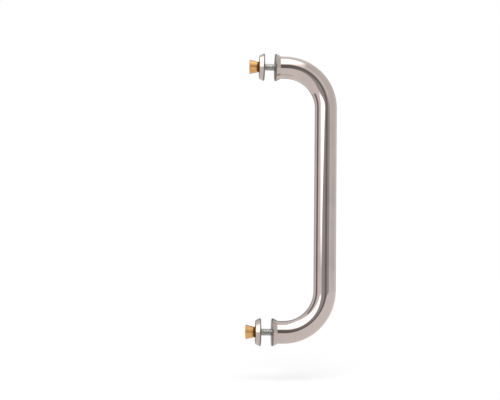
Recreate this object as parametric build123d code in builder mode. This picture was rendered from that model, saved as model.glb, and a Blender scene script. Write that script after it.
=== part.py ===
"""Door pull handle: a bent round tube with a clamp fixing at each end.

Millimetres. +X points away from the door, +Z runs up along the grip. The origin lies on the handle
side of the door, midway between the two fixings.
"""
import os

from build123d import *

os.makedirs("parts", exist_ok=True)

# Handle
fixing_centres = 300.0
tube_od = 25.0
tube_wall = 1.5
grip_reach = 59.0
bend_radius = 46.5
tube_edge = 0.3

# Door panel that the fixings clamp
door_thickness = 12.0

# Rosettes, turned cups that close the tube ends
rosette_od = 30.5
rosette_height = 5.8
rosette_floor = 2.0
rosette_band = 1.6
rosette_lip = 0.6
rosette_edge = 0.5
rosette_tube_clearance = 0.2
rosette_hole_od = 8.6

# Studs, M8, at the full thread diameter across the door and at the pitch diameter inside the cones
stud_od = 8.0
stud_thread_pitch_od = 7.188
stud_tip_chamfer = 0.7
stud_short_of_cone = 1.0

# Brass cones
cone_length = 15.0
cone_neck_od = 11.2
cone_od = 16.0
cone_edge = 0.4
cone_mouth = 0.7

# Set screws, M6
grub_from_tube_end = 11.4
grub_thread_pitch_od = 5.35
grub_length = 5.0
grub_tip_od = 1.0
grub_rim_chamfer = 0.4
grub_socket_flats = 3.0
grub_socket_depth = 2.0

# Values that follow from the ones above
fixing_z = fixing_centres / 2
tube_r = tube_od / 2
tube_end_x = rosette_floor
rosette_bore_r = tube_r + rosette_tube_clearance
rosette_lip_r = rosette_bore_r + rosette_lip
thread_r = stud_thread_pitch_od / 2
neck_r = cone_neck_od / 2
neck_length = rosette_height - rosette_floor
cone_slope = (cone_od - cone_neck_od) / 2 / (cone_length - cone_edge - neck_length)
grub_x = tube_end_x + grub_from_tube_end
grub_r = grub_thread_pitch_od / 2
grub_tip_r = grub_tip_od / 2
grub_tip_y = neck_r + (grub_from_tube_end + grub_tip_r - neck_length) * cone_slope
same_radius = 0.01
levels = (("upper", fixing_z), ("lower", -fixing_z))
sides = (("inner", 0.0, 1), ("outer", -door_thickness, -1))

# Grip tube: one length swept along the bent centreline, ends square, a set screw hole at the back of each end
with BuildPart() as grip_tube:
    with BuildLine():
        FilletPolyline(
            (tube_end_x, 0, fixing_z),
            (grip_reach, 0, fixing_z),
            (grip_reach, 0, -fixing_z),
            (tube_end_x, 0, -fixing_z),
            radius=bend_radius,
        )
    with BuildSketch(Plane(origin=(tube_end_x, 0, fixing_z), z_dir=(1, 0, 0))):
        Circle(tube_r)
        Circle(tube_r - tube_wall, mode=Mode.SUBTRACT)
    sweep()
    end_faces = grip_tube.faces().filter_by(Axis.X).sort_by(Axis.X)[:2]
    chamfer(end_faces.edges().filter_by(lambda edge: abs(edge.radius - tube_r) < same_radius), tube_edge)
    for level, z in levels:
        with BuildSketch(Plane(origin=(grub_x, 0, z), z_dir=(0, 1, 0))):
            Circle(grub_r)
        extrude(amount=tube_od, mode=Mode.SUBTRACT)
grip_tube.part.label = "grip_tube"
export_step(grip_tube.part, "parts/grip_tube.step")

for level, z in levels:
    fixing_axis = Axis((0, 0, z), (1, 0, 0))

    for side, door_face_x, away in sides:
        # Rosette: cup with a tapered outside, its floor against the door and the tube end in its bore
        with BuildPart() as rosette:
            with BuildSketch(Plane(origin=(door_face_x, 0, z), x_dir=(away, 0, 0), z_dir=(0, -away, 0))):
                with BuildLine():
                    Polyline(
                        (0, rosette_hole_od / 2),
                        (0, rosette_od / 2),
                        (rosette_band, rosette_od / 2),
                        (rosette_height, rosette_lip_r),
                        (rosette_height, rosette_bore_r),
                        (rosette_floor, rosette_bore_r),
                        (rosette_floor, rosette_hole_od / 2),
                        close=True,
                    )
                make_face()
            revolve(axis=fixing_axis)
            rim = rosette.edges().filter_by(GeomType.CIRCLE)
            fillet(rim.filter_by(lambda edge: abs(edge.radius - rosette_od / 2) < same_radius), rosette_edge)
        rosette.part.label = f"{level}_{side}_rosette"
        export_step(rosette.part, f"parts/{level}_{side}_rosette.step")

        # Cone: neck on the rosette's floor, flank widening away from the door, tapped right through
        cone_foot_x = door_face_x + away * rosette_floor
        with BuildPart() as cone:
            with BuildSketch(Plane(origin=(cone_foot_x, 0, z), x_dir=(away, 0, 0), z_dir=(0, -away, 0))):
                with BuildLine():
                    Polyline(
                        (0, thread_r),
                        (0, neck_r),
                        (neck_length, neck_r),
                        (cone_length - cone_edge, cone_od / 2),
                        (cone_length, cone_od / 2 - cone_edge),
                        (cone_length, thread_r + cone_mouth),
                        (cone_length - cone_mouth, thread_r),
                        close=True,
                    )
                make_face()
            revolve(axis=fixing_axis)
        cone.part.label = f"{level}_{side}_cone"
        export_step(cone.part, f"parts/{level}_{side}_cone.step")

    # Stud: full diameter across the door, pitch diameter where it is screwed into both cones
    stud_in_x = rosette_floor + cone_length - stud_short_of_cone
    stud_out_x = -door_thickness - stud_in_x
    with BuildPart() as stud:
        with BuildSketch(Plane(origin=(0, 0, z), x_dir=(1, 0, 0), z_dir=(0, -1, 0))):
            with BuildLine():
                Polyline(
                    (stud_out_x, 0),
                    (stud_out_x, thread_r - stud_tip_chamfer),
                    (stud_out_x + stud_tip_chamfer, thread_r),
                    (-door_thickness, thread_r),
                    (-door_thickness, stud_od / 2),
                    (0, stud_od / 2),
                    (0, thread_r),
                    (stud_in_x - stud_tip_chamfer, thread_r),
                    (stud_in_x, thread_r - stud_tip_chamfer),
                    (stud_in_x, 0),
                    close=True,
                )
            make_face()
        revolve(axis=fixing_axis)
    stud.part.label = f"{level}_stud"
    export_step(stud.part, f"parts/{level}_stud.step")

    # Set screw: point on the inner cone's flank, hexagon socket at the back of the tube
    with BuildPart() as grub_screw:
        with BuildSketch(Plane(origin=(grub_x, grub_tip_y, z), x_dir=(0, 1, 0), z_dir=(0, 0, 1))):
            with BuildLine():
                Polyline(
                    (0, 0),
                    (0, grub_tip_r),
                    (grub_r - grub_tip_r, grub_r),
                    (grub_length - grub_rim_chamfer, grub_r),
                    (grub_length, grub_r - grub_rim_chamfer),
                    (grub_length, 0),
                    close=True,
                )
            make_face()
        revolve(axis=Axis((grub_x, 0, z), (0, 1, 0)))
        with BuildSketch(Plane(origin=(grub_x, grub_tip_y + grub_length, z), z_dir=(0, -1, 0))):
            RegularPolygon(grub_socket_flats / 2, 6, major_radius=False)
        extrude(amount=grub_socket_depth, mode=Mode.SUBTRACT)
    grub_screw.part.label = f"{level}_grub_screw"
    export_step(grub_screw.part, f"parts/{level}_grub_screw.step")
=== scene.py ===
"""Door pull handle: finishes, threaded studs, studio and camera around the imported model.

Laid out as an add-on and run as a script. Lengths are in metres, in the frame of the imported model:
+X points away from the door, +Z runs up along the grip.
"""
import math

import bpy
from bpy.props import FloatProperty, FloatVectorProperty, IntProperty, PointerProperty
from mathutils import Matrix, Vector


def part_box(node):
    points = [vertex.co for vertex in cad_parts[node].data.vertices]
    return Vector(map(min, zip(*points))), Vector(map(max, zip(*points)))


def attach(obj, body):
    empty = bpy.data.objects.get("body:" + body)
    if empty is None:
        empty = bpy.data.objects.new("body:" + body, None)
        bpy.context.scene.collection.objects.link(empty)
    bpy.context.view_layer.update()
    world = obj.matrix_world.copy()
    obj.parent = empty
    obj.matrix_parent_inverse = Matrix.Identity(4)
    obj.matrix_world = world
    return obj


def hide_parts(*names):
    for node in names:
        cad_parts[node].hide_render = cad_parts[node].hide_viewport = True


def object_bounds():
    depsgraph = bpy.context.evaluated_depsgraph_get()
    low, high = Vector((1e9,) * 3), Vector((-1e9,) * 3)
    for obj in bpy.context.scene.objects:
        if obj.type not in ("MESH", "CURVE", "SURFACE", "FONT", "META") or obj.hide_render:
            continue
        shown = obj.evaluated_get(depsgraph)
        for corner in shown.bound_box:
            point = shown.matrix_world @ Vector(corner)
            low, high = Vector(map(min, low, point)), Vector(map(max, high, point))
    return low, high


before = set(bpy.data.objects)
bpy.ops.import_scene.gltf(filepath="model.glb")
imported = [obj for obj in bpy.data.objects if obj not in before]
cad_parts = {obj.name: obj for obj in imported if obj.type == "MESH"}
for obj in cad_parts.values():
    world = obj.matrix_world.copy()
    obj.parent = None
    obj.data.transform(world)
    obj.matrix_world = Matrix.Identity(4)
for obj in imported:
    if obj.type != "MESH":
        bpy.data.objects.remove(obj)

bl_info = {
    "name": "Door Pull Handle",
    "version": (1, 0, 0),
    "blender": (4, 5, 0),
    "location": "View3D > Sidebar > Handle",
    "description": "Finishes, threaded studs and studio for a bent-tube door pull",
    "category": "Object",
}

CAD_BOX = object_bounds()

ROSETTES = ("upper_inner_rosette", "lower_inner_rosette", "upper_outer_rosette", "lower_outer_rosette")
CONES = ("upper_inner_cone", "lower_inner_cone", "upper_outer_cone", "lower_outer_cone")
SET_SCREWS = ("upper_grub_screw", "lower_grub_screw")
STUDS = (("upper", 1.0), ("lower", -1.0))

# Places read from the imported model
STUD_LOW, STUD_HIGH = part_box("upper_stud")
FIXING_Z = (STUD_LOW.z + STUD_HIGH.z) / 2
STUD_RADIUS = (STUD_HIGH.y - STUD_LOW.y) / 2
THREAD_START_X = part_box("upper_outer_cone")[1].x
THREAD_END_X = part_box("upper_inner_cone")[0].x
NEAR_DOOR_FACE_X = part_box("upper_inner_rosette")[0].x
FAR_DOOR_FACE_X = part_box("upper_outer_rosette")[1].x
LOWEST_Z = CAD_BOX[0].z

# Width of the band beside the door that is left as turned, rougher, and darkened with painted shade and a
# painted dark reflection
DOOR_ROUGH_AND_SHADED_BAND = 0.00155

# Tone and roughness of a rosette inside its cup and at the door, tones as shares of the steel's colour. The
# roughness is the duller finish; the tones are painted shade, darkening the recess of the cup and the door
# face with its band, where the rosettes shade each other and reflect dark
CUP_PAINTED_SHADE_TONE = 0.8
CUP_ROUGHNESS = 0.26
DOOR_PAINTED_SHADE_TONE = 0.36
DOOR_ROUGHNESS = 0.38

# Edges shorter than this are dissolved after a union
SLIVER = 0.000002

# Edges of a stud that turn by less than this are shaded smooth
SMOOTH_ANGLE = math.radians(35.0)

# Cards that the metal reflects: name, azimuth and elevation in degrees, width, height, level
# A later card stands in front of an earlier one
CARDS = (
    ("rear_grey_card", 180.0, 10.0, 3.0, 2.0, 0.6),
    ("right_grey_card", 80.0, 30.0, 2.0, 2.0, 0.85),
    ("front_grey_card", 0.0, 0.0, 2.0, 1.0, 0.5),
    ("softbox", -30.0, 45.0, 1.5, 2.5, 2.5),
    ("left_flag", -100.0, 0.0, 0.5, 2.0, 0.2),
    ("camera_flag", 5.0, 0.0, 0.3, 1.0, 0.2),
    ("rear_flag", 170.0, 0.0, 0.3, 1.0, 0.2),
)
CARD_AIM = (CAD_BOX[0] + CAD_BOX[1]) / 2

# Floor: its paint for the light that it returns, and the shaded tone and own level that rays from camera,
# metal and glass see
WHITE = (1.0, 1.0, 1.0, 1.0)
FLOOR_PAINT = (0.9, 0.9, 0.9, 1.0)
FLOOR_SHADED = (0.25, 0.25, 0.25, 1.0)
FLOOR_LEVEL = 0.76

# Camera fitted to the outline of the handle, its turns in degrees
CAMERA_PLACE = Vector((-0.0559, -0.7855, -0.0693))
CAMERA_PAN = 2.17
CAMERA_TILT = 4.82
CAMERA_ROLL = 0.91
SENSOR_WIDTH_MM = 36.0
CLIP_START = 0.01


class StudSizes(bpy.types.PropertyGroup):
    """Sizes of the threaded studs."""

    crest_radius: FloatProperty(
        name="Crest radius",
        description="Radius over the crests of the thread",
        default=STUD_RADIUS,
        unit="LENGTH",
    )
    root_radius: FloatProperty(
        name="Root radius",
        description="Radius at the bottom of the thread",
        default=0.0033,
        unit="LENGTH",
    )
    engaged_radius: FloatProperty(
        name="Engaged radius",
        description="Radius of the ends that sit in the cones",
        default=0.003594,
        unit="LENGTH",
    )
    pitch: FloatProperty(
        name="Pitch",
        description="Advance of the thread in one turn",
        default=0.00125,
        unit="LENGTH",
    )
    tip_chamfer: FloatProperty(
        name="Tip chamfer",
        description="Chamfer at both tips of the stud",
        default=0.0007,
        unit="LENGTH",
    )
    turn_steps: IntProperty(
        name="Steps per turn",
        description="Segments in one turn of the thread",
        default=48,
        min=12,
    )


class FinishColours(bpy.types.PropertyGroup):
    """Colours and gloss of the finishes."""

    steel: FloatVectorProperty(
        name="Polished steel",
        description="Colour of the polished tube and rosettes",
        subtype="COLOR",
        size=4,
        default=(0.54, 0.46, 0.43, 1.0),
    )
    brass: FloatVectorProperty(
        name="Brass",
        description="Colour of the turned brass cones",
        subtype="COLOR",
        size=4,
        default=(0.7, 0.39, 0.14, 1.0),
    )
    zinc: FloatVectorProperty(
        name="Zinc plating",
        description="Colour of the plated studs",
        subtype="COLOR",
        size=4,
        default=(0.52, 0.52, 0.49, 1.0),
    )
    oiled_steel: FloatVectorProperty(
        name="Oiled steel",
        description="Colour of the set screws",
        subtype="COLOR",
        size=4,
        default=(0.16, 0.15, 0.14, 1.0),
    )
    polish: FloatProperty(
        name="Polish",
        description="Roughness of the cleanest polished steel",
        subtype="FACTOR",
        default=0.03,
        min=0.0,
        max=1.0,
    )
    # Inside this radius the cup is also darkened with painted shade
    polished_from: FloatProperty(
        name="Polished from",
        description="Radius outside which a rosette is polished; inside it the cup is duller",
        default=0.0131,
        unit="LENGTH",
    )


class StudioSettings(bpy.types.PropertyGroup):
    """Floor, light and lens of the studio."""

    floor_drop: FloatProperty(
        name="Floor drop",
        description="Distance of the floor below the handle",
        default=0.04,
        unit="LENGTH",
    )
    floor_size: FloatProperty(
        name="Floor size",
        description="Length of each side of the floor",
        default=16.0,
        unit="LENGTH",
    )
    lamp_strength: FloatProperty(
        name="Lamp strength",
        description="Strength of the soft lamp over the handle in watts per square metre",
        default=2.1,
        min=0.0,
    )
    lamp_spread: FloatProperty(
        name="Lamp spread",
        description="Angle that the soft lamp fills, seen from the handle",
        default=math.radians(35.0),
        subtype="ANGLE",
    )
    lamp_elevation: FloatProperty(
        name="Lamp elevation",
        description="Angle of the soft lamp above the floor, on the camera's side",
        default=math.radians(55.0),
        subtype="ANGLE",
    )
    ambient: FloatProperty(
        name="Ambient level",
        description="Level of the even light from all round",
        default=0.45,
        min=0.0,
    )
    card_distance: FloatProperty(
        name="Card distance",
        description="Distance of the reflected cards from the handle",
        default=1.5,
        unit="LENGTH",
    )
    card_step: FloatProperty(
        name="Card step",
        description="How much nearer each card stands than the one before it",
        default=0.1,
        unit="LENGTH",
    )
    card_softness: FloatProperty(
        name="Card softness",
        description="Width over which the edge of a card fades out",
        default=0.3,
        unit="LENGTH",
    )
    lens: FloatProperty(
        name="Lens",
        description="Focal length of the camera in millimetres",
        default=50.4,
        min=1.0,
    )


def shader_node(tree, kind, place, **inputs):
    """Add a node of one kind at a place in the tree and set its inputs by name."""
    made = tree.nodes.new(kind)
    made.location = place
    for label, value in inputs.items():
        made.inputs[label.replace("_", " ")].default_value = value
    return made


def math_node(tree, operation, place, first, second=None):
    """Add a Math node whose inputs are sockets or plain numbers."""
    made = tree.nodes.new("ShaderNodeMath")
    made.operation = operation
    made.location = place
    for slot, value in enumerate((first, second)):
        if value is None:
            continue
        if isinstance(value, (int, float)):
            made.inputs[slot].default_value = value
        else:
            tree.links.new(value, made.inputs[slot])
    return made.outputs[0]


def empty_material(name):
    """Make a material with an empty node tree and a Principled shader wired to its output."""
    made = bpy.data.materials.new(name)
    made.use_nodes = True
    tree = made.node_tree
    tree.nodes.clear()
    output = tree.nodes.new("ShaderNodeOutputMaterial")
    output.location = (600, 0)
    shader = tree.nodes.new("ShaderNodeBsdfPrincipled")
    shader.location = (300, 0)
    tree.links.new(shader.outputs[0], output.inputs[0])
    return made, tree, shader


def handling_marks_group():
    """Node group: haze and small scratches that handling leaves on metal."""
    tree = bpy.data.node_groups.new("handling_marks", "ShaderNodeTree")
    face = tree.interface
    size_in = face.new_socket("Patch Scale", in_out="INPUT", socket_type="NodeSocketFloat")
    size_in.default_value = 40.0
    face.new_socket("Clean Roughness", in_out="INPUT", socket_type="NodeSocketFloat").default_value = 0.05
    face.new_socket("Hazy Roughness", in_out="INPUT", socket_type="NodeSocketFloat").default_value = 0.1
    face.new_socket("Haze", in_out="OUTPUT", socket_type="NodeSocketFloat")
    face.new_socket("Roughness", in_out="OUTPUT", socket_type="NodeSocketFloat")
    face.new_socket("Height", in_out="OUTPUT", socket_type="NodeSocketFloat")
    start = tree.nodes.new("NodeGroupInput")
    start.location = (-700, 0)
    end = tree.nodes.new("NodeGroupOutput")
    end.location = (700, 0)
    place = tree.nodes.new("ShaderNodeTexCoord")
    place.location = (-700, -220)
    patches = shader_node(tree, "ShaderNodeTexNoise", (-420, 120), Detail=5.0, Roughness=0.6)
    tree.links.new(place.outputs["Object"], patches.inputs["Vector"])
    tree.links.new(start.outputs["Patch Scale"], patches.inputs["Scale"])
    haze = shader_node(tree, "ShaderNodeMapRange", (-180, 120), From_Min=0.38, From_Max=0.7)
    haze.interpolation_type = "SMOOTHSTEP"
    tree.links.new(patches.outputs["Fac"], haze.inputs["Value"])
    spread = shader_node(tree, "ShaderNodeMapRange", (80, 60))
    tree.links.new(haze.outputs["Result"], spread.inputs["Value"])
    tree.links.new(start.outputs["Clean Roughness"], spread.inputs["To Min"])
    tree.links.new(start.outputs["Hazy Roughness"], spread.inputs["To Max"])
    grain = shader_node(tree, "ShaderNodeTexNoise", (-420, -200), Scale=2600.0, Detail=3.0, Roughness=0.55)
    tree.links.new(place.outputs["Object"], grain.inputs["Vector"])
    tree.links.new(haze.outputs["Result"], end.inputs["Haze"])
    tree.links.new(spread.outputs["Result"], end.inputs["Roughness"])
    tree.links.new(grain.outputs["Fac"], end.inputs["Height"])
    return tree


def turning_marks_group():
    """Node group: fine rings that a lathe leaves round the axis of either fixing, and the radius from it."""
    tree = bpy.data.node_groups.new("turning_marks", "ShaderNodeTree")
    face = tree.interface
    face.new_socket("Rings per Metre", in_out="INPUT", socket_type="NodeSocketFloat").default_value = 3000.0
    face.new_socket("Streaks", in_out="OUTPUT", socket_type="NodeSocketFloat")
    face.new_socket("Radius", in_out="OUTPUT", socket_type="NodeSocketFloat")
    face.new_socket("Height", in_out="OUTPUT", socket_type="NodeSocketFloat")
    start = tree.nodes.new("NodeGroupInput")
    start.location = (-900, 200)
    end = tree.nodes.new("NodeGroupOutput")
    end.location = (700, 0)
    place = tree.nodes.new("ShaderNodeTexCoord")
    place.location = (-1100, 0)
    parts = tree.nodes.new("ShaderNodeSeparateXYZ")
    parts.location = (-920, 0)
    tree.links.new(place.outputs["Object"], parts.inputs[0])
    level = math_node(tree, "ABSOLUTE", (-740, -120), parts.outputs["Z"])
    rise = math_node(tree, "SUBTRACT", (-580, -120), level, FIXING_Z)
    rise_squared = math_node(tree, "MULTIPLY", (-420, -120), rise, rise)
    across_squared = math_node(tree, "MULTIPLY", (-420, -280), parts.outputs["Y"], parts.outputs["Y"])
    both = math_node(tree, "ADD", (-260, -180), rise_squared, across_squared)
    radius = math_node(tree, "SQRT", (-100, -180), both)
    run = math_node(tree, "ADD", (60, -100), radius, parts.outputs["X"])
    rings = math_node(tree, "MULTIPLY", (220, -100), run, start.outputs["Rings per Metre"])
    streaks = tree.nodes.new("ShaderNodeTexNoise")
    streaks.location = (400, 60)
    streaks.noise_dimensions = "1D"
    streaks.inputs["Scale"].default_value = 1.0
    streaks.inputs["Detail"].default_value = 4.0
    tree.links.new(rings, streaks.inputs["W"])
    grooves = math_node(tree, "SINE", (400, -220), rings)
    tree.links.new(streaks.outputs["Fac"], end.inputs["Streaks"])
    tree.links.new(radius, end.inputs["Radius"])
    tree.links.new(grooves, end.inputs["Height"])
    return tree


def shared_group(name, maker):
    """Give the node group of that name, made on first use."""
    return bpy.data.node_groups.get(name) or maker()


def group_node(tree, group, place, **inputs):
    """Place a node group in a tree and set its inputs by name."""
    made = tree.nodes.new("ShaderNodeGroup")
    made.node_tree = group
    made.location = place
    for label, value in inputs.items():
        made.inputs[label.replace("_", " ")].default_value = value
    return made


def tinted(colour, factor):
    """The same colour made lighter or darker."""
    return (colour[0] * factor, colour[1] * factor, colour[2] * factor, 1.0)


def two_tone(tree, place, mask, first, second):
    """Mix two colours, the first a colour or a socket, by a mask and give the colour socket."""
    made = tree.nodes.new("ShaderNodeMix")
    made.data_type = "RGBA"
    made.location = place
    tree.links.new(mask, made.inputs["Factor"])
    if isinstance(first, tuple):
        made.inputs[6].default_value = first
    else:
        tree.links.new(first, made.inputs[6])
    made.inputs[7].default_value = second
    return made.outputs[2]


def bump(tree, place, height, strength, distance):
    """Turn a height into a normal."""
    made = shader_node(tree, "ShaderNodeBump", place, Strength=strength, Distance=distance)
    tree.links.new(height, made.inputs["Height"])
    return made.outputs["Normal"]


def polished_tube_material(colours):
    """Mirror-polished tube with a little haze from handling."""
    made, tree, shader = empty_material("polished_tube_steel")
    colour = tuple(colours.steel)
    shader.inputs["Metallic"].default_value = 1.0
    marks = group_node(
        tree,
        shared_group("handling_marks", handling_marks_group),
        (-300, 0),
        Patch_Scale=45.0,
        Clean_Roughness=colours.polish,
        Hazy_Roughness=colours.polish * 1.9,
    )
    tree.links.new(two_tone(tree, (0, 160), marks.outputs["Haze"], colour, tinted(colour, 0.93)),
                   shader.inputs["Base Color"])
    tree.links.new(marks.outputs["Roughness"], shader.inputs["Roughness"])
    tree.links.new(bump(tree, (0, -260), marks.outputs["Height"], 0.03, 0.00002), shader.inputs["Normal"])
    return made


def door_rough_and_painted_shade_mask(tree):
    """One on the faces that the rosettes turn to the door and on the narrow band round them, which get a
    rougher finish and painted shade.
    """
    place = tree.nodes.new("ShaderNodeTexCoord")
    place.location = (-1300, -500)
    parts = tree.nodes.new("ShaderNodeSeparateXYZ")
    parts.location = (-1120, -500)
    tree.links.new(place.outputs["Object"], parts.inputs[0])
    masks = []
    for row, door_face_x in enumerate((NEAR_DOOR_FACE_X, FAR_DOOR_FACE_X)):
        height = -460 - 180 * row
        offset = math_node(tree, "SUBTRACT", (-920, height), parts.outputs["X"], door_face_x)
        away = math_node(tree, "ABSOLUTE", (-740, height), offset)
        masks.append(math_node(tree, "LESS_THAN", (-560, height), away, DOOR_ROUGH_AND_SHADED_BAND))
    return math_node(tree, "MAXIMUM", (-380, -500), masks[0], masks[1])


def turned_rosette_material(colours):
    """Turned steel, polished outside, rougher inside the cup and left as turned on the door face; both of
    these zones are also darkened with painted shade.
    """
    made, tree, shader = empty_material("turned_rosette_steel_painted_shade")
    colour = tuple(colours.steel)
    shader.inputs["Metallic"].default_value = 1.0
    marks = group_node(
        tree,
        shared_group("handling_marks", handling_marks_group),
        (-1000, 240),
        Patch_Scale=120.0,
        Clean_Roughness=colours.polish * 2.0,
        Hazy_Roughness=colours.polish * 4.0,
    )
    rings = group_node(
        tree,
        shared_group("turning_marks", turning_marks_group),
        (-1000, -20),
        Rings_per_Metre=26000.0,
    )
    cup_rough_and_painted_shade = math_node(tree, "LESS_THAN", (-760, -220), rings.outputs["Radius"], colours.polished_from)
    door_rough_and_painted_shade = door_rough_and_painted_shade_mask(tree)
    tone = two_tone(tree, (-560, 340), rings.outputs["Streaks"], colour, tinted(colour, 0.85))
    rough = marks.outputs["Roughness"]
    # Painted shade: each zone gets a darker tone of the steel as well as its rougher finish
    rough_and_painted_shade_zones = (
        (-340, cup_rough_and_painted_shade, CUP_PAINTED_SHADE_TONE, CUP_ROUGHNESS),
        (-120, door_rough_and_painted_shade, DOOR_PAINTED_SHADE_TONE, DOOR_ROUGHNESS),
    )
    for column, mask, darker, roughness in rough_and_painted_shade_zones:
        tone = two_tone(tree, (column, 300), mask, tone, tinted(colour, darker))
        spread = shader_node(tree, "ShaderNodeMapRange", (column, 40), To_Max=roughness)
        tree.links.new(mask, spread.inputs["Value"])
        tree.links.new(rough, spread.inputs["To Min"])
        rough = spread.outputs["Result"]
    tree.links.new(tone, shader.inputs["Base Color"])
    tree.links.new(rough, shader.inputs["Roughness"])
    tree.links.new(bump(tree, (0, -260), rings.outputs["Height"], 0.04, 0.00004), shader.inputs["Normal"])
    return made


def turned_brass_material(colours):
    """Turned brass, a little dulled, with tool lines round the cone."""
    made, tree, shader = empty_material("turned_brass")
    colour = tuple(colours.brass)
    shader.inputs["Metallic"].default_value = 1.0
    marks = group_node(
        tree,
        shared_group("handling_marks", handling_marks_group),
        (-300, 200),
        Patch_Scale=260.0,
        Clean_Roughness=0.18,
        Hazy_Roughness=0.3,
    )
    rings = group_node(
        tree,
        shared_group("turning_marks", turning_marks_group),
        (-300, -160),
        Rings_per_Metre=9000.0,
    )
    bright = tinted(colour, 1.12)
    dull = tinted(colour, 0.8)
    tone = two_tone(tree, (0, 160), rings.outputs["Streaks"], bright, dull)
    tree.links.new(tone, shader.inputs["Base Color"])
    tree.links.new(marks.outputs["Roughness"], shader.inputs["Roughness"])
    tree.links.new(bump(tree, (0, -260), rings.outputs["Height"], 0.1, 0.00006), shader.inputs["Normal"])
    return made


def zinc_stud_material(colours):
    """Zinc plating, cloudy grey with a satin sheen."""
    made, tree, shader = empty_material("zinc_plated_stud")
    colour = tuple(colours.zinc)
    shader.inputs["Metallic"].default_value = 1.0
    marks = group_node(
        tree,
        shared_group("handling_marks", handling_marks_group),
        (-300, 0),
        Patch_Scale=700.0,
        Clean_Roughness=0.22,
        Hazy_Roughness=0.42,
    )
    bright = tinted(colour, 1.1)
    dull = tinted(colour, 0.82)
    tone = two_tone(tree, (0, 160), marks.outputs["Haze"], bright, dull)
    tree.links.new(tone, shader.inputs["Base Color"])
    tree.links.new(marks.outputs["Roughness"], shader.inputs["Roughness"])
    tree.links.new(bump(tree, (0, -260), marks.outputs["Height"], 0.05, 0.00005), shader.inputs["Normal"])
    return made


def oiled_screw_material(colours):
    """Dark oiled steel of the set screws."""
    made, tree, shader = empty_material("oiled_set_screw")
    colour = tuple(colours.oiled_steel)
    shader.inputs["Metallic"].default_value = 1.0
    marks = group_node(
        tree,
        shared_group("handling_marks", handling_marks_group),
        (-300, 0),
        Patch_Scale=900.0,
        Clean_Roughness=0.3,
        Hazy_Roughness=0.5,
    )
    tree.links.new(two_tone(tree, (0, 160), marks.outputs["Haze"], colour, tinted(colour, 0.7)),
                   shader.inputs["Base Color"])
    tree.links.new(marks.outputs["Roughness"], shader.inputs["Roughness"])
    tree.links.new(bump(tree, (0, -260), marks.outputs["Height"], 0.2, 0.00006), shader.inputs["Normal"])
    return made


def dress(names, material):
    """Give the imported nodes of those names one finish."""
    for name in names:
        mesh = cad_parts[name].data
        mesh.materials.clear()
        mesh.materials.append(material)


def deselect_all():
    """Leave edit mode with nothing selected."""
    if bpy.context.object and bpy.context.object.mode != "OBJECT":
        bpy.ops.object.mode_set(mode="OBJECT")
    bpy.ops.object.select_all(action="DESELECT")


def draw_profile(points):
    """Draw an open line through points in the XY plane, starting from one vertex, and leave edit mode."""
    bpy.ops.mesh.primitive_plane_add(size=points[0][1], location=(points[0][0], points[0][1], 0.0))
    bpy.ops.object.mode_set(mode="EDIT")
    bpy.ops.mesh.select_all(action="SELECT")
    bpy.ops.mesh.merge(type="CENTER")
    for before, after in zip(points, points[1:]):
        step = (after[0] - before[0], after[1] - before[1], 0.0)
        bpy.ops.mesh.extrude_vertices_move(TRANSFORM_OT_translate={"value": step})
    bpy.ops.object.mode_set(mode="OBJECT")
    bpy.ops.object.transform_apply(location=True, rotation=True, scale=True)
    return bpy.context.object


def thread_length(sizes):
    """The threaded middle of a stud on the X axis, cut square where it enters the two cones."""
    flat = sizes.pitch / 8
    root_flat = sizes.pitch / 4
    flank = (sizes.pitch - flat - root_flat) / 2
    spare_turns = 3
    turns = math.ceil((THREAD_END_X - THREAD_START_X) / sizes.pitch) + spare_turns
    half_step = sizes.pitch / sizes.turn_steps / 2
    start = THREAD_START_X - spare_turns / 2 * sizes.pitch - half_step
    profile = (
        (start, sizes.root_radius),
        (start + root_flat, sizes.root_radius),
        (start + root_flat + flank, sizes.crest_radius),
        (start + root_flat + flank + flat, sizes.crest_radius),
        (start + sizes.pitch, sizes.root_radius),
    )
    thread = draw_profile(profile)
    bpy.ops.object.modifier_add(type="SCREW")
    screw = thread.modifiers[-1]
    screw.axis = "X"
    screw.angle = 2 * math.pi
    screw.screw_offset = sizes.pitch
    screw.iterations = turns
    screw.steps = sizes.turn_steps
    screw.render_steps = sizes.turn_steps
    screw.use_smooth_shade = True
    bpy.ops.object.modifier_apply(modifier=screw.name)
    bpy.ops.object.mode_set(mode="EDIT")
    bpy.ops.mesh.select_all(action="SELECT")
    bpy.ops.mesh.remove_doubles(threshold=sizes.pitch / 1000)
    for x, inner in ((THREAD_START_X, True), (THREAD_END_X, False)):
        bpy.ops.mesh.select_all(action="SELECT")
        bpy.ops.mesh.bisect(
            plane_co=(x, 0.0, 0.0),
            plane_no=(1.0, 0.0, 0.0),
            use_fill=True,
            clear_inner=inner,
            clear_outer=not inner,
            threshold=sizes.pitch / 10000,
        )
    bpy.ops.mesh.select_all(action="SELECT")
    bpy.ops.mesh.normals_make_consistent(inside=False)
    bpy.ops.object.mode_set(mode="OBJECT")
    return thread


def engaged_end(sizes, low_x, high_x, tip_x):
    """One end of a stud as it sits in its cone, chamfered at the tip."""
    bpy.ops.mesh.primitive_cylinder_add(
        vertices=sizes.turn_steps,
        radius=sizes.engaged_radius,
        depth=high_x - low_x,
        location=((low_x + high_x) / 2, 0.0, 0.0),
        rotation=(0.0, math.pi / 2, 0.0),
    )
    bpy.ops.object.transform_apply(location=True, rotation=True, scale=True)
    end = bpy.context.object
    bpy.ops.object.mode_set(mode="EDIT")
    bpy.ops.mesh.select_mode(type="FACE")
    bpy.ops.mesh.select_all(action="DESELECT")
    bpy.ops.object.mode_set(mode="OBJECT")
    for face in end.data.polygons:
        face.select = abs(face.center.x - tip_x) < sizes.pitch / 100
    bpy.ops.object.mode_set(mode="EDIT")
    bpy.ops.mesh.bevel(offset=sizes.tip_chamfer, segments=1, affect="EDGES")
    bpy.ops.object.mode_set(mode="OBJECT")
    return end


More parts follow.
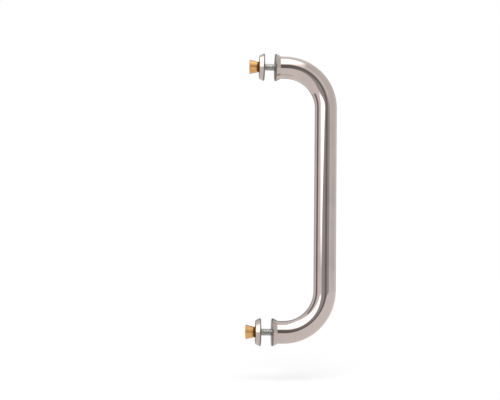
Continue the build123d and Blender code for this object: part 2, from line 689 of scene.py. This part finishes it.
def unite(piece, other):
    """Make two overlapping pieces one closed piece."""
    deselect_all()
    piece.select_set(True)
    bpy.context.view_layer.objects.active = piece
    bpy.ops.object.modifier_add(type="BOOLEAN")
    union = piece.modifiers[-1]
    union.operation = "UNION"
    union.solver = "MANIFOLD"
    union.object = other
    bpy.ops.object.modifier_apply(modifier=union.name)
    bpy.data.objects.remove(other)
    bpy.ops.object.mode_set(mode="EDIT")
    bpy.ops.mesh.select_all(action="SELECT")
    bpy.ops.mesh.quads_convert_to_tris()
    bpy.ops.mesh.dissolve_degenerate(threshold=SLIVER)
    bpy.ops.object.mode_set(mode="OBJECT")


class HANDLE_OT_grip_tube(bpy.types.Operator):
    """Polish the bent tube"""

    bl_idname = "handle.grip_tube"
    bl_label = "Polish Grip Tube"

    def execute(self, context):
        dress(("grip_tube",), polished_tube_material(context.scene.handle_finishes))
        return {"FINISHED"}


class HANDLE_OT_rosettes(bpy.types.Operator):
    """Finish the four rosettes as turned steel"""

    bl_idname = "handle.rosettes"
    bl_label = "Finish Rosettes"

    def execute(self, context):
        dress(ROSETTES, turned_rosette_material(context.scene.handle_finishes))
        return {"FINISHED"}


class HANDLE_OT_cones(bpy.types.Operator):
    """Finish the four cones as turned brass"""

    bl_idname = "handle.cones"
    bl_label = "Finish Brass Cones"

    def execute(self, context):
        dress(CONES, turned_brass_material(context.scene.handle_finishes))
        return {"FINISHED"}


class HANDLE_OT_set_screws(bpy.types.Operator):
    """Finish the two set screws as oiled steel"""

    bl_idname = "handle.set_screws"
    bl_label = "Finish Set Screws"

    def execute(self, context):
        dress(SET_SCREWS, oiled_screw_material(context.scene.handle_finishes))
        return {"FINISHED"}


class HANDLE_OT_studs(bpy.types.Operator):
    """Model one threaded stud and copy it to both fixings"""

    bl_idname = "handle.studs"
    bl_label = "Model Threaded Studs"

    def execute(self, context):
        sizes = context.scene.handle_studs
        deselect_all()
        thread = thread_length(sizes)
        overlap = sizes.pitch / 4
        deselect_all()
        unite(thread, engaged_end(sizes, STUD_LOW.x, THREAD_START_X + overlap, STUD_LOW.x))
        deselect_all()
        unite(thread, engaged_end(sizes, THREAD_END_X - overlap, STUD_HIGH.x, STUD_HIGH.x))
        bpy.ops.object.shade_smooth_by_angle(angle=SMOOTH_ANGLE)
        thread.data.materials.clear()
        thread.data.materials.append(zinc_stud_material(context.scene.handle_finishes))
        for level, side in STUDS:
            stud = thread.copy()
            stud.data = thread.data.copy()
            stud.name = f"threaded_stud_{level}"
            context.scene.collection.objects.link(stud)
            stud.data.transform(Matrix.Translation((0.0, 0.0, side * FIXING_Z)))
            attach(stud, "root")
            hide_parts(f"{level}_stud")
        bpy.data.objects.remove(thread)
        return {"FINISHED"}


def card_material(name, level, soft_u, soft_v):
    """A soft-edged card of an even level."""
    made = bpy.data.materials.new(name)
    made.use_nodes = True
    tree = made.node_tree
    tree.nodes.clear()
    output = tree.nodes.new("ShaderNodeOutputMaterial")
    output.location = (600, 0)
    place = tree.nodes.new("ShaderNodeTexCoord")
    place.location = (-900, 0)
    parts = tree.nodes.new("ShaderNodeSeparateXYZ")
    parts.location = (-720, 0)
    tree.links.new(place.outputs["UV"], parts.inputs[0])
    edges = []
    for axis, soft, row in (("X", soft_u, 160), ("Y", soft_v, -160)):
        centred = math_node(tree, "SUBTRACT", (-540, row), parts.outputs[axis], 0.5)
        away = math_node(tree, "ABSOLUTE", (-360, row), centred)
        fade = shader_node(tree, "ShaderNodeMapRange", (-180, row), From_Min=0.5, From_Max=0.5 - soft)
        fade.interpolation_type = "SMOOTHSTEP"
        tree.links.new(away, fade.inputs["Value"])
        edges.append(fade.outputs["Result"])
    cover = math_node(tree, "MULTIPLY", (40, 160), edges[0], edges[1])
    glow = shader_node(tree, "ShaderNodeEmission", (200, -160), Color=WHITE, Strength=level)
    clear = tree.nodes.new("ShaderNodeBsdfTransparent")
    clear.location = (200, 0)
    blend = tree.nodes.new("ShaderNodeMixShader")
    blend.location = (400, 0)
    tree.links.new(cover, blend.inputs[0])
    tree.links.new(clear.outputs[0], blend.inputs[1])
    tree.links.new(glow.outputs[0], blend.inputs[2])
    tree.links.new(blend.outputs[0], output.inputs[0])
    return made


def studio_card(name, place, turn, width, height, level, soft):
    """A card that only reflections see."""
    bpy.ops.mesh.primitive_plane_add(size=1.0)
    card = bpy.context.object
    card.name = name
    card.matrix_world = Matrix.LocRotScale(place, turn, (width + soft, height + soft, 1.0))
    card.data.materials.append(card_material(name, level, soft / (width + soft), soft / (height + soft)))
    card.visible_camera = False
    card.visible_diffuse = False
    card.visible_transmission = False
    card.visible_volume_scatter = False
    card.visible_shadow = False


def background_ray(tree):
    """One where a camera, glossy or transmission ray sees the surface."""
    path = tree.nodes.new("ShaderNodeLightPath")
    path.location = (-600, 300)
    seen = path.outputs
    first = math_node(tree, "MAXIMUM", (-380, 300), seen["Is Camera Ray"], seen["Is Glossy Ray"])
    return math_node(tree, "MAXIMUM", (-180, 300), first, seen["Is Transmission Ray"])


def studio_floor(settings):
    """Plain white floor that keeps a faint shadow."""
    place = (0.0, 0.0, LOWEST_Z - settings.floor_drop)
    bpy.ops.mesh.primitive_plane_add(size=settings.floor_size, location=place)
    floor = bpy.context.object
    floor.name = "studio_floor"
    made = bpy.data.materials.new("studio_floor_white")
    made.use_nodes = True
    tree = made.node_tree
    tree.nodes.clear()
    output = tree.nodes.new("ShaderNodeOutputMaterial")
    output.location = (400, 0)
    paint = shader_node(tree, "ShaderNodeBsdfDiffuse", (-180, 100), Color=FLOOR_PAINT)
    shaded = shader_node(tree, "ShaderNodeBsdfDiffuse", (-380, -60), Color=FLOOR_SHADED)
    white = shader_node(tree, "ShaderNodeEmission", (-380, -220), Color=WHITE, Strength=FLOOR_LEVEL)
    pale = tree.nodes.new("ShaderNodeAddShader")
    pale.location = (-180, -120)
    tree.links.new(shaded.outputs[0], pale.inputs[0])
    tree.links.new(white.outputs[0], pale.inputs[1])
    blend = tree.nodes.new("ShaderNodeMixShader")
    blend.location = (200, 0)
    tree.links.new(background_ray(tree), blend.inputs[0])
    tree.links.new(paint.outputs[0], blend.inputs[1])
    tree.links.new(pale.outputs[0], blend.inputs[2])
    tree.links.new(blend.outputs[0], output.inputs[0])
    floor.data.materials.append(made)


def studio_world(settings):
    """White surroundings with an even ambient light."""
    world = bpy.data.worlds.new("studio_world")
    bpy.context.scene.world = world
    world.use_nodes = True
    tree = world.node_tree
    tree.nodes.clear()
    output = tree.nodes.new("ShaderNodeOutputWorld")
    output.location = (400, 0)
    ambient = shader_node(tree, "ShaderNodeBackground", (-180, 100), Color=WHITE, Strength=settings.ambient)
    white = shader_node(tree, "ShaderNodeBackground", (-180, -60), Color=WHITE, Strength=1.0)
    blend = tree.nodes.new("ShaderNodeMixShader")
    blend.location = (200, 0)
    tree.links.new(background_ray(tree), blend.inputs[0])
    tree.links.new(ambient.outputs[0], blend.inputs[1])
    tree.links.new(white.outputs[0], blend.inputs[2])
    tree.links.new(blend.outputs[0], output.inputs[0])


def facing(place):
    """Rotation that turns a card at that place towards the handle."""
    return (CARD_AIM - place).to_track_quat("Z", "Y")


def card_place(azimuth, elevation, distance):
    """Place of a card, azimuth from the camera's side towards +X."""
    a = math.radians(azimuth)
    e = math.radians(elevation)
    outwards = Vector((math.sin(a) * math.cos(e), -math.cos(a) * math.cos(e), math.sin(e)))
    return CARD_AIM + distance * outwards


class HANDLE_OT_studio(bpy.types.Operator):
    """Set floor, light, cards and camera"""

    bl_idname = "handle.studio"
    bl_label = "Set Studio"

    def execute(self, context):
        settings = context.scene.handle_studio
        deselect_all()
        studio_world(settings)
        studio_floor(settings)
        for row, (name, azimuth, elevation, width, height, level) in enumerate(CARDS):
            place = card_place(azimuth, elevation, settings.card_distance - row * settings.card_step)
            studio_card(name, place, facing(place), width, height, level, settings.card_softness)
        lamp = bpy.data.lights.new("studio_lamp", "SUN")
        lamp.energy = settings.lamp_strength
        lamp.angle = settings.lamp_spread
        lamp_object = bpy.data.objects.new("studio_lamp", lamp)
        lamp_object.rotation_euler = (math.pi / 2 - settings.lamp_elevation, 0.0, 0.0)
        lamp_object.visible_glossy = False
        context.scene.collection.objects.link(lamp_object)
        camera = bpy.data.cameras.new("studio_camera")
        camera.sensor_fit = "HORIZONTAL"
        camera.sensor_width = SENSOR_WIDTH_MM
        camera.lens = settings.lens
        camera.clip_start = CLIP_START
        camera_object = bpy.data.objects.new("studio_camera", camera)
        pan = Matrix.Rotation(math.radians(-CAMERA_PAN), 4, "Z")
        tilt = Matrix.Rotation(math.radians(90.0 + CAMERA_TILT), 4, "X")
        roll = Matrix.Rotation(math.radians(CAMERA_ROLL), 4, "Z")
        camera_object.matrix_world = Matrix.Translation(CAMERA_PLACE) @ pan @ tilt @ roll
        context.scene.collection.objects.link(camera_object)
        context.scene.camera = camera_object
        context.scene.view_settings.view_transform = "Standard"
        return {"FINISHED"}


class HANDLE_PT_sidebar(bpy.types.Panel):
    """Pieces, finishes and studio of the handle"""

    bl_idname = "HANDLE_PT_sidebar"
    bl_label = "Door Pull Handle"
    bl_space_type = "VIEW_3D"
    bl_region_type = "UI"
    bl_category = "Handle"

    def draw(self, context):
        column = self.layout.column()
        scene = context.scene
        for settings in (scene.handle_studs, scene.handle_finishes, scene.handle_studio):
            for label in settings.__annotations__:
                column.prop(settings, label)
        for operator in OPERATORS:
            column.operator(operator.bl_idname)


OPERATORS = (
    HANDLE_OT_grip_tube,
    HANDLE_OT_rosettes,
    HANDLE_OT_cones,
    HANDLE_OT_set_screws,
    HANDLE_OT_studs,
    HANDLE_OT_studio,
)
CLASSES = (StudSizes, FinishColours, StudioSettings, *OPERATORS, HANDLE_PT_sidebar)


def register():
    for made in CLASSES:
        bpy.utils.register_class(made)
    bpy.types.Scene.handle_studs = PointerProperty(type=StudSizes)
    bpy.types.Scene.handle_finishes = PointerProperty(type=FinishColours)
    bpy.types.Scene.handle_studio = PointerProperty(type=StudioSettings)


def unregister():
    del bpy.types.Scene.handle_studio
    del bpy.types.Scene.handle_finishes
    del bpy.types.Scene.handle_studs
    for made in reversed(CLASSES):
        bpy.utils.unregister_class(made)


def main():
    register()
    bpy.ops.handle.grip_tube()
    bpy.ops.handle.rosettes()
    bpy.ops.handle.cones()
    bpy.ops.handle.set_screws()
    bpy.ops.handle.studs()
    bpy.ops.handle.studio()


if __name__ == "__main__":
    main()
